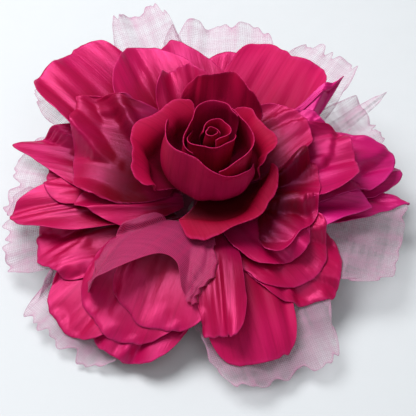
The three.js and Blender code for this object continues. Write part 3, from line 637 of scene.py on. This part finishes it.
def cloth_object(name, points, flat, place, finish, thick):
    """A cloth from a grid of points: thick is in millimetres, flat and place become its maps."""
    rows, columns = points.shape[0] - 1, points.shape[1] - 1
    faces = []
    for i in range(rows):
        for j in range(columns):
            first = i * (columns + 1) + j
            faces.append((first, first + columns + 1, first + columns + 2, first + 1))
    piece = new_object(name, (points.reshape(-1, 3) * MM).tolist(), faces, finish)
    corners = np.array(faces).ravel()
    for map_name, values in (("cloth", flat), ("place", place)):
        layer = piece.data.uv_layers.new(name=map_name)
        layer.data.foreach_set("uv", values.reshape(-1, 2)[corners].astype(np.float32).ravel())
    rounds = piece.modifiers.new("rounds", "SUBSURF")
    rounds.levels = rounds.render_levels = 1
    wall = piece.modifiers.new("cloth", "SOLIDIFY")
    wall.thickness = thick * MM
    wall.offset = 0
    return piece


def flat_size(flat):
    """Width, length and area of the cut cloth, in metres."""
    a, b, c, d = flat[:-1, :-1], flat[1:, :-1], flat[1:, 1:], flat[:-1, 1:]
    one, other = c - a, d - b
    area = np.abs(one[..., 0] * other[..., 1] - one[..., 1] * other[..., 0]).sum() / 2
    width, length = np.ptp(flat[..., 0]), np.ptp(flat[..., 1])
    return width * MM, length * MM, area * MM * MM


# %% [markdown]
# ## The table of petals
# One line per petal, in the order the maker glues them on, from the sheer scraps at the back to the
# rolled strip in the heart. Millimetres and degrees; the rest are shares.
#
# - `at` is the compass heading. `base` and `tip` give the distance from the axis and the height, of
#   the claw and of the tip. `half` is half the width and `claw` the width at the claw.
# - `bend` is how far the rib turns; a larger `late` keeps the turn for the end. `cup` is the bow
#   across at the claw and at the cut end. `tilt` rolls the petal about its rib, and `twist` rolls it
#   further towards the tip.
# - `end` is the outline of the cut end and `corner` how far up it starts at the sides. `notch` is a
#   dip in it, `dent` wide, at `dent_at`. `skew` cuts one side longer.
# - `ruffle`, `waves` and `phase` are broad waves in the end. `creases`, `deep` and `flutter` are the
#   number of creases, their depth and the waves of the edge; `fray` is how ragged the cut is.
# - A petal with `wrap` stands round the bud and reaches that far to each side. `close` draws its top
#   in, `drift` and `slant` wind it outwards and upwards, `lean` moves its top along x, and `lip`
#   turns its rim over from `lip_from` on.

# %% The petals
SCRAP = dict(cloth="organza", bend=-15, cup=(6, 6), end="square", corner=0.8)
HEART = dict(cloth="budCloth", lean=2.0, end="point", corner=0.84)
PETALS = {
    "organza_05": dict(SCRAP, at=-68, base=(15, 5.2), tip=(78, -2), half=24),
    "organza_07": dict(SCRAP, at=-172, base=(15, 5.0), tip=(78, 0), half=20),
    "organza_06": dict(SCRAP, at=-134, base=(15, 5.4), tip=(79, -5), half=22),
    "organza_08": dict(SCRAP, at=168, base=(15, 5.6), tip=(77, 6), half=22),
    "organza_04": dict(SCRAP, at=-14, base=(15, 6.0), tip=(74, 6), half=22),
    "organza_09": dict(SCRAP, at=141, base=(15, 6.6), tip=(80, 24), half=15),
    "organza_01": dict(SCRAP, at=86, base=(15, 6.8), tip=(72, 34), half=22),
    "organza_03": dict(SCRAP, at=28, base=(15, 6.0), tip=(72, 19), half=15),
    "organza_02": dict(SCRAP, at=50, base=(15, 6.4), tip=(77, 30), half=15),
    "organza_11": dict(cloth="organza", at=30, base=(15, 6.2), tip=(79, 29), half=5, bend=15,
        cup=(50, 50), end="point", corner=0.5, twist=50),
    "organza_10": dict(SCRAP, at=111, base=(15, 6.2), tip=(82, 36), half=13),
    "under_petal_3": dict(cloth="satin", at=-117, base=(13, 6.8), tip=(72, -3), half=19, bend=-45,
        cup=(-10, -10)),
    "under_petal_4": dict(cloth="satin", at=-136, base=(13, 7.4), tip=(74, -2), half=18, bend=-40,
        cup=(-10, -10)),
    "under_petal_5": dict(cloth="satin", at=-160, base=(13, 7.8), tip=(67, 2), half=17, bend=-40,
        cup=(-10, -10)),
    "under_petal_2": dict(cloth="backlit_satin", at=1, base=(13, 7.6), tip=(77, 5), half=11, bend=-15,
        end="point", corner=0.55),
    "under_petal_1": dict(cloth="backlit_satin", at=11, base=(13, 8.4), tip=(76, 9), half=12, bend=-15,
        cup=(20, 20), end="soft", corner=0.6, tilt=10),
    "outer_petal_06": dict(cloth="cotton", at=-74, base=(11, 8.4), tip=(70, 1), half=17, bend=-50,
        cup=(-8, -8), end="square"),
    "outer_petal_08": dict(cloth="satin", at=-122, base=(11, 8.8), tip=(67, 1), half=21, bend=-60,
        cup=(-14, -14)),
    "outer_petal_09": dict(cloth="satin", at=185, base=(11, 10.2), tip=(75, 9), half=13, bend=-30,
        cup=(10, 10), end="soft", corner=0.6),
    "outer_petal_12": dict(cloth="satin", at=172, base=(11, 10.4), tip=(63, 12), half=13, bend=-30,
        cup=(12, 12)),
    "outer_petal_04": dict(cloth="satin", at=-42, base=(11, 9.2), tip=(61, 3), half=18, bend=-45,
        cup=(8, -12), end="soft"),
    "outer_petal_03": dict(cloth="backlit_satin", at=-6, base=(11, 9.6), tip=(62, 16), half=15,
        bend=-20, end="point", corner=0.6),
    "outer_petal_10": dict(cloth="shaded_satin", at=161, base=(11, 10.8), tip=(80, 12), half=15,
        bend=-25, end="point", corner=0.45),
    "outer_petal_02": dict(cloth="backlit_satin", at=15, base=(11, 9.8), tip=(73, 15), half=16,
        bend=-20, cup=(20, 20), end="soft", corner=0.6, tilt=12, skew=-0.1),
    "outer_petal_11": dict(cloth="satin", at=138, base=(11, 11.4), tip=(78, 33), half=21, bend=-15,
        cup=(12, 12), end="square", corner=0.8, tilt=6),
    "outer_petal_07": dict(cloth="satin", at=-110, base=(11, 10.6), tip=(60, 5), half=20, bend=-60,
        cup=(-15, -15)),
    "outer_petal_05": dict(cloth="satin", at=-42, base=(11, 10.8), tip=(53, 9), half=18, bend=-40,
        cup=(10, -12), end="soft"),
    "middle_petal_01": dict(cloth="satin", at=79, base=(9.5, 12), tip=(59, 30), half=16, bend=-20,
        cup=(10, 10)),
    "middle_petal_10": dict(cloth="shaded_satin", at=103, base=(9.5, 12.8), tip=(65, 34), half=19,
        bend=-20, cup=(15, 10), end="point", corner=0.6),
    "middle_petal_07": dict(cloth="satin", at=-172, base=(9.5, 13), tip=(51, 17), half=12, bend=-30,
        cup=(-20, -20), end="point", corner=0.6),
    "middle_petal_09": dict(cloth="satin", at=118, base=(9.5, 13.8), tip=(64, 36), half=19, bend=-20,
        cup=(35, 28), end="soft", corner=0.6, tilt=8),
    "middle_petal_02": dict(cloth="cotton", at=58, base=(9.5, 13.4), tip=(62, 36), half=20, bend=-20,
        cup=(10, 6), end="square", corner=0.8, notch=0.03),
    "outer_petal_01": dict(cloth="backlit_satin", at=38, base=(11, 10.4), tip=(66, 37), half=6, bend=10,
        cup=(60, 60), end="point", corner=0.5, twist=60),
    "middle_petal_03": dict(cloth="backlit_satin", at=26, base=(9.5, 13.2), tip=(50, 28), half=13,
        bend=-10, cup=(35, 25), tilt=20),
    "middle_petal_04": dict(cloth="shaded_satin", at=9, base=(9.5, 14.2), tip=(56, 25), half=16,
        bend=-5, cup=(30, 25), end="square"),
    "middle_petal_06": dict(cloth="satin", at=-86, base=(9.5, 13.2), tip=(63, 10), half=10, bend=-50,
        cup=(-50, -25), end="square", corner=0.9, twist=35),
    "middle_petal_05": dict(cloth="satin", at=-41, base=(9.5, 14.4), tip=(45, 15), half=15, bend=-35,
        cup=(12, -12), end="soft", ruffle=4, waves=1.3, phase=0.5),
    "organza_trumpet": dict(cloth="trumpet", at=-119, base=(17, 14.8), tip=(57, 27), half=28,
        bend=-10, late=1, cup=(-50, -95), claw=0.5, corner=0.75, notch=0.5, dent=0.4, dent_at=0.18,
        skew=-0.2),
    "middle_petal_08": dict(cloth="shaded_satin", at=161, base=(12, 15.4), tip=(54, 20), half=21,
        bend=-70, late=1.8, cup=(16, 25), end="square", corner=0.75, tilt=-18, skew=-0.1),
    "inner_petal_4": dict(cloth="satin", at=105, base=(9.5, 16.4), tip=(43, 40), half=13, bend=-20,
        late=2, cup=(30, 40)),
    "inner_petal_2": dict(cloth="shaded_satin", at=33, base=(13.8, 16.8), tip=(43, 31), half=17,
        bend=-5, late=2, cup=(40, 35), corner=0.6),
    "inner_petal_3": dict(cloth="shaded_satin", at=-22, base=(22, 15), tip=(42, 19), half=21, bend=35,
        cup=(10, 35), claw=0.22, corner=0.65),
    "inner_petal_1": dict(cloth="budCloth", at=78, base=(15.8, 18), tip=(33, 46), half=16.5, bend=25,
        late=1, cup=(20, 45)),
    "collar_petal_front": dict(cloth="budCloth", at=-62, base=(10.6, 22.1), tip=(21.5, 27.6),
        wrap=60, slant=8, close=-3.5, drift=1.2, corner=0.8),
    "collar_petal_right": dict(cloth="budCloth", at=24, base=(8.2, 21.6), tip=(18.2, 43), wrap=46,
        close=-2, drift=-0.6, lean=2, corner=0.75),
    "collar_petal_left": dict(cloth="budCloth", at=155, base=(8.8, 21.2), tip=(20, 40), wrap=54,
        slant=-5, close=-5, drift=0.6, lean=-1, end="soft", corner=0.8),
    "heart_petal_6": dict(HEART, at=-110, base=(6.9, 20), tip=(17.1, 49), wrap=88, slant=-7,
        close=2.4, drift=-0.7),
    "heart_petal_5": dict(HEART, at=10, base=(6.2, 20.6), tip=(14.2, 50.5), wrap=92, slant=3,
        close=2.2, drift=-0.7),
    "heart_petal_4": dict(HEART, at=130, base=(5.3, 21.2), tip=(11.3, 53), wrap=98, slant=-3,
        close=1.8, drift=-0.8),
    "heart_petal_3": dict(HEART, at=250, base=(4.2, 22), tip=(8.4, 51), wrap=104, slant=2.5,
        close=1.2, drift=-0.9),
    "heart_petal_2": dict(HEART, at=40, base=(3, 36.5), tip=(5.6, 51), wrap=120, slant=-2, close=0.6,
        drift=-0.9),
    "heart_petal_1": dict(HEART, at=190, base=(1.2, 37), tip=(2.6, 49.5), wrap=165, slant=1.5,
        close=0.3, drift=-0.9),
}
print(len(PETALS), "pieces of cloth in the table")

# %% Cut, lay and print the size of every petal
WRAP_DETAIL = dict(creases=6, deep=0.9, flutter=0.9, fray=0.014, lip=2.4)
ORGANZA_DETAIL = dict(creases=9, deep=1.3, flutter=2.2, fray=0.07)
OWN_DETAIL = {
    "collar_petal_front": dict(lip=5.5, lip_from=0.66, fray=0.035, flutter=1.6),
    "collar_petal_left": dict(lip=4.2, lip_from=0.7, fray=0.035, flutter=2.2, deep=1.5),
    "collar_petal_right": dict(lip=3.4, lip_from=0.7, fray=0.025, flutter=1.6),
    "heart_petal_6": dict(lip=3.6, lip_from=0.74),
    "heart_petal_1": dict(lip=1.0),
    "heart_petal_2": dict(lip=1.4),
    "inner_petal_1": dict(fray=0.03, flutter=2.4),
    "inner_petal_4": dict(fray=0.03, flutter=2.2),
}
BOLT_UNIT = 100  # millimetres of cloth to one unit of the map
BOLT_STEP = np.array([0.37, 0.61])  # each petal is cut from another place on the bolt
for seed, (node, shape) in enumerate(PETALS.items()):
    cloth = shape["cloth"]
    sheer = cloth in ("organza", "trumpet")
    wrapped = "wrap" in shape
    detail = WRAP_DETAIL if wrapped else ORGANZA_DETAIL if sheer else {}
    points, flat, place = cut_petal({**detail, **OWN_DETAIL.get(node, {}), **shape}, seed + 1)
    if not wrapped:
        points = lay_on_pile(points)
    bolt_place = flat / BOLT_UNIT + BOLT_STEP * seed
    piece = cloth_object(node + "_cloth", points, bolt_place, place, CLOTH[cloth],
                         ORGANZA_THICK if sheer else SATIN_THICK)
    width, length, area = flat_size(flat)
    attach(piece, "flower")
    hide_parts(node)
    print(f"{node}: cut {width * 1000:.0f} by {length * 1000:.0f} mm, {area * 1e6:.0f} mm2")

# %% [markdown]
# ## Felt and foam
# A disc of felt hides the glue between clip and stem. Felt is a mat of fibres, so its edge is
# uneven and its faces are slightly lumpy. The bud is wrapped round a teardrop of polystyrene foam.
# Both are turned profiles pushed in and out by a smooth random field.

# %% Turned soft pieces
LUMP_WAVES, LUMP_SPREAD = 6, 0.35
FELT_INSET = 0.8  # the felt is cut a little smaller than its place in the CAD
ROUND, SKIN = 0.5, 0.1  # rounding of the felt's edges, and room for the lumps


def turned(name, profile, around, lumps, seed, finish):
    """A closed turned body from (radius, height) pairs, in millimetres, with uneven skin."""
    dice = np.random.RandomState(seed)
    waves = dice.normal(size=(LUMP_WAVES, 3)) * LUMP_SPREAD
    phases = dice.uniform(0, WHOLE_TURN, LUMP_WAVES)
    vertices, faces = [], []
    for radius, height in profile:
        for step in range(around):
            angle = 2 * math.pi * step / around
            spot = np.array([radius * math.cos(angle), radius * math.sin(angle), height])
            push = sum(math.sin(float(wave @ spot) + phase) for wave, phase in zip(waves, phases))
            vertices.append(spot * (1 + lumps * push / max(radius, 3)) * MM)
    for ring in range(len(profile) - 1):
        for step in range(around):
            a, b = ring * around + step, ring * around + (step + 1) % around
            faces.append((a, b, b + around, a + around))
    faces.append(tuple(reversed(range(around))))
    last = (len(profile) - 1) * around
    faces.append(tuple(range(last, last + around)))
    return new_object(name, [tuple(v) for v in vertices], faces, finish)


def grained(name, dark, light, scale, depth, rough, **uniform):
    """A finish for a solid material: its colour and surface vary by one grain of that scale."""
    finish = Finish(name, **uniform)
    where = finish.add("ShaderNodeTexCoord", None, None, 3)
    grain = finish.noise(where, scale, 4, 0.6)
    broad = finish.noise(where, scale / 12, 2, 0.5)
    colour = finish.blend(grain * 0.7 + broad * 0.6 - 0.15, dark, light)
    finish.set(Base_Color=colour, Roughness=rough + (grain - 0.5) * 0.3)
    finish.raised(grain, depth, 0.6)
    return finish.material


felt_finish = grained("felt", (0.14, 0.004, 0.03), (0.30, 0.012, 0.07), 1400, 0.0003, 0.95,
                      Sheen_Weight=0.4, Sheen_Roughness=0.6, Sheen_Tint=(1, 0.5, 0.7, 1))
foam_finish = grained("foam", (0.66, 0.60, 0.52), (0.85, 0.80, 0.74), 700, 0.0004, 0.9)

low, high = (np.array(corner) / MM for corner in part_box("felt_backing"))
edge, bottom, top = high[0] - FELT_INSET, low[2], high[2]
felt_profile = [(0.5, bottom + SKIN), (edge * 0.5, bottom + SKIN), (edge - ROUND, bottom + SKIN),
                (edge, bottom + ROUND), (edge, top - ROUND), (edge - ROUND, top - SKIN),
                (edge * 0.5, top - SKIN), (0.5, top - SKIN)]
felt = turned("felt_disc", felt_profile, 72, 0.06, 7, felt_finish)
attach(felt, "flower")
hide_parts("felt_backing")

low, high = (np.array(corner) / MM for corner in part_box("bud_core"))
tall = high[2] - low[2]
widest = high[0]
core_profile = [(0.4, low[2] + SKIN), (widest * 0.42, low[2] + 0.2),
                (widest * 0.70, low[2] + tall * 0.24), (widest * 0.95, low[2] + tall * 0.5),
                (widest * 0.97, low[2] + tall * 0.7), (widest * 0.88, low[2] + tall * 0.85),
                (widest * 0.6, high[2] - 0.5), (0.4, high[2] - SKIN)]
core = turned("foam_heart", core_profile, 40, 0.05, 11, foam_finish)
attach(core, "flower")
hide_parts("bud_core")
print("felt disc across:", round(2 * edge, 1), "mm; foam heart tall:", round(tall, 1), "mm")

# %% [markdown]
# ## The clip
# The clip's stamped steel parts, its pin, the rubber liner and the moulded stem are hard, so their
# CAD shapes stay and only get a finish. Stamped steel is bright but never clean: fine scratches run
# along it from the press, and its roughness changes from place to place.

# %% Steel, rubber and plastic


def brushed(name, dark, light, rough, draw):
    """Bare metal; draw is how the press marks are drawn out along it."""
    finish = Finish(name, Metallic=1.0)
    where = finish.add("ShaderNodeTexCoord", None, None, 3)
    lines = finish.noise(finish.stretch(where, draw), 900, 3, 0.6)
    stains = finish.noise(where, 90, 3, 0.55)
    colour = finish.blend(lines * 0.6 + stains * 0.5, dark, light)
    finish.set(Base_Color=colour, Roughness=rough + (lines - 0.5) * 0.25 + (stains - 0.5) * 0.2)
    finish.raised(lines, 0.00004, 0.5)
    return finish.material


steel = brushed("clip_steel", (0.42, 0.42, 0.43), (0.72, 0.72, 0.74), 0.30, (0.05, 1, 1))
wire = brushed("spring_wire", (0.28, 0.28, 0.30), (0.55, 0.55, 0.58), 0.34, (1, 1, 1))
rubber = grained("rubber", (0.012, 0.011, 0.012), (0.035, 0.032, 0.034), 900, 0.00008, 0.7)
plastic = grained("stem_plastic", (0.10, 0.003, 0.020), (0.17, 0.006, 0.035), 260, 0.00006, 0.45)
for node, finish in (("clip_base_arm", steel), ("clip_lever_jaw", steel), ("hinge_pin", steel),
                     ("grip_pad", rubber), ("stem_peg", plastic)):
    part = frame["nodes"][node]
    part.data.materials.clear()
    part.data.materials.append(finish)
print("finishes on the CAD parts: steel, rubber, plastic")

# %% [markdown]
# The torsion spring winds up as the lever is pressed: one leg stays with the arm, the other goes
# with the thumb tab. A coil of thin wire hides that twist well, so the wire is drawn as two tubes
# that meet in the last turn, and each tube rides with its own half of the clip.

# %% The spring
WIRE_RADIUS = 0.3
COIL_RADIUS = 1.75
TURNS = 3 + 164 / 360
COIL_WIDTH = 3.2
LEG, LEG_START = 8.0, 0.4  # where a leg ends and starts, from where the coil lets it go
SPLIT = 0.86  # share of the winding that stays with the arm
DOME = 0.6  # height of the wire's rounded ends, as a share of its radius


def wire_tube(name, path, radius, finish, sides=10):
    """A closed tube along a path of points, in millimetres, with domed ends."""
    path = np.array(path, float)
    heads = np.gradient(path, axis=0)
    heads /= np.linalg.norm(heads, axis=1)[:, None]
    side = np.cross(heads, [0, 1, 0.2])
    side /= np.linalg.norm(side, axis=1)[:, None]
    other = np.cross(heads, side)
    turns = 2 * np.pi * np.arange(sides) / sides
    turns = turns[None, :, None]
    spokes = side[:, None] * np.cos(turns) + other[:, None] * np.sin(turns)
    rings = path[:, None] + spokes * radius
    tips = [path[0] - heads[0] * radius * DOME, path[-1] + heads[-1] * radius * DOME]
    vertices = np.vstack([rings.reshape(-1, 3), tips]) * MM
    count = len(path)
    faces = []
    for i in range(count - 1):
        for j in range(sides):
            a, b = i * sides + j, i * sides + (j + 1) % sides
            faces.append((a, a + sides, b + sides, b))
    for j in range(sides):
        faces.append((count * sides, j, (j + 1) % sides))
        last = (count - 1) * sides
        faces.append((count * sides + 1, last + (j + 1) % sides, last + j))
    piece = new_object(name, vertices.tolist(), faces, finish)
    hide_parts("torsion_spring")
    return piece


hinge = np.array(frame["joints"][0]["pos_m"]) / MM


def coil_point(turned, reach=0.0, forward=1):
    """A point of the wire: turned is the share of the winding, reach how far along a leg."""
    angle = math.pi / 2 - turned * TURNS * 2 * math.pi
    return hinge + np.array([
        COIL_RADIUS * math.cos(angle) + forward * reach * math.sin(angle),
        COIL_WIDTH * (turned - 0.5),
        COIL_RADIUS * math.sin(angle) - forward * reach * math.cos(angle),
    ])


arm_side = [coil_point(0, reach, -1) for reach in np.linspace(LEG, LEG_START, 12)]
arm_side += [coil_point(t) for t in np.linspace(0, SPLIT, 110)]
lever_side = [coil_point(t) for t in np.linspace(SPLIT, 1, 20)]
lever_side += [coil_point(1, reach, 1) for reach in np.linspace(LEG_START, LEG, 12)]
coil = wire_tube("spring_coil", arm_side, WIRE_RADIUS, wire)
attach(coil, "flower")
leg = wire_tube("spring_leg", lever_side, WIRE_RADIUS, wire)
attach(leg, "lever")
print("spring: coil of", round(2 * (COIL_RADIUS + WIRE_RADIUS), 1), "mm on the pin at",
      hinge.round(1).tolist())

# %% [markdown]
# ## The table top
# A plain pale sheet under the clip, very slightly rough and uneven like matt card, so that the
# shadow falls on something real.

# %% Floor
FLOOR_HALF = 1.6
card = grained("card", (0.64, 0.665, 0.675), (0.68, 0.705, 0.715), 120, 0.00002, 0.8)
floor_corners = [(x * FLOOR_HALF, y * FLOOR_HALF, FLOOR_Z)
                 for x, y in ((-1, -1), (1, -1), (1, 1), (-1, 1))]
floor = new_object("floor", floor_corners, [(0, 1, 2, 3)], card, smooth=False)
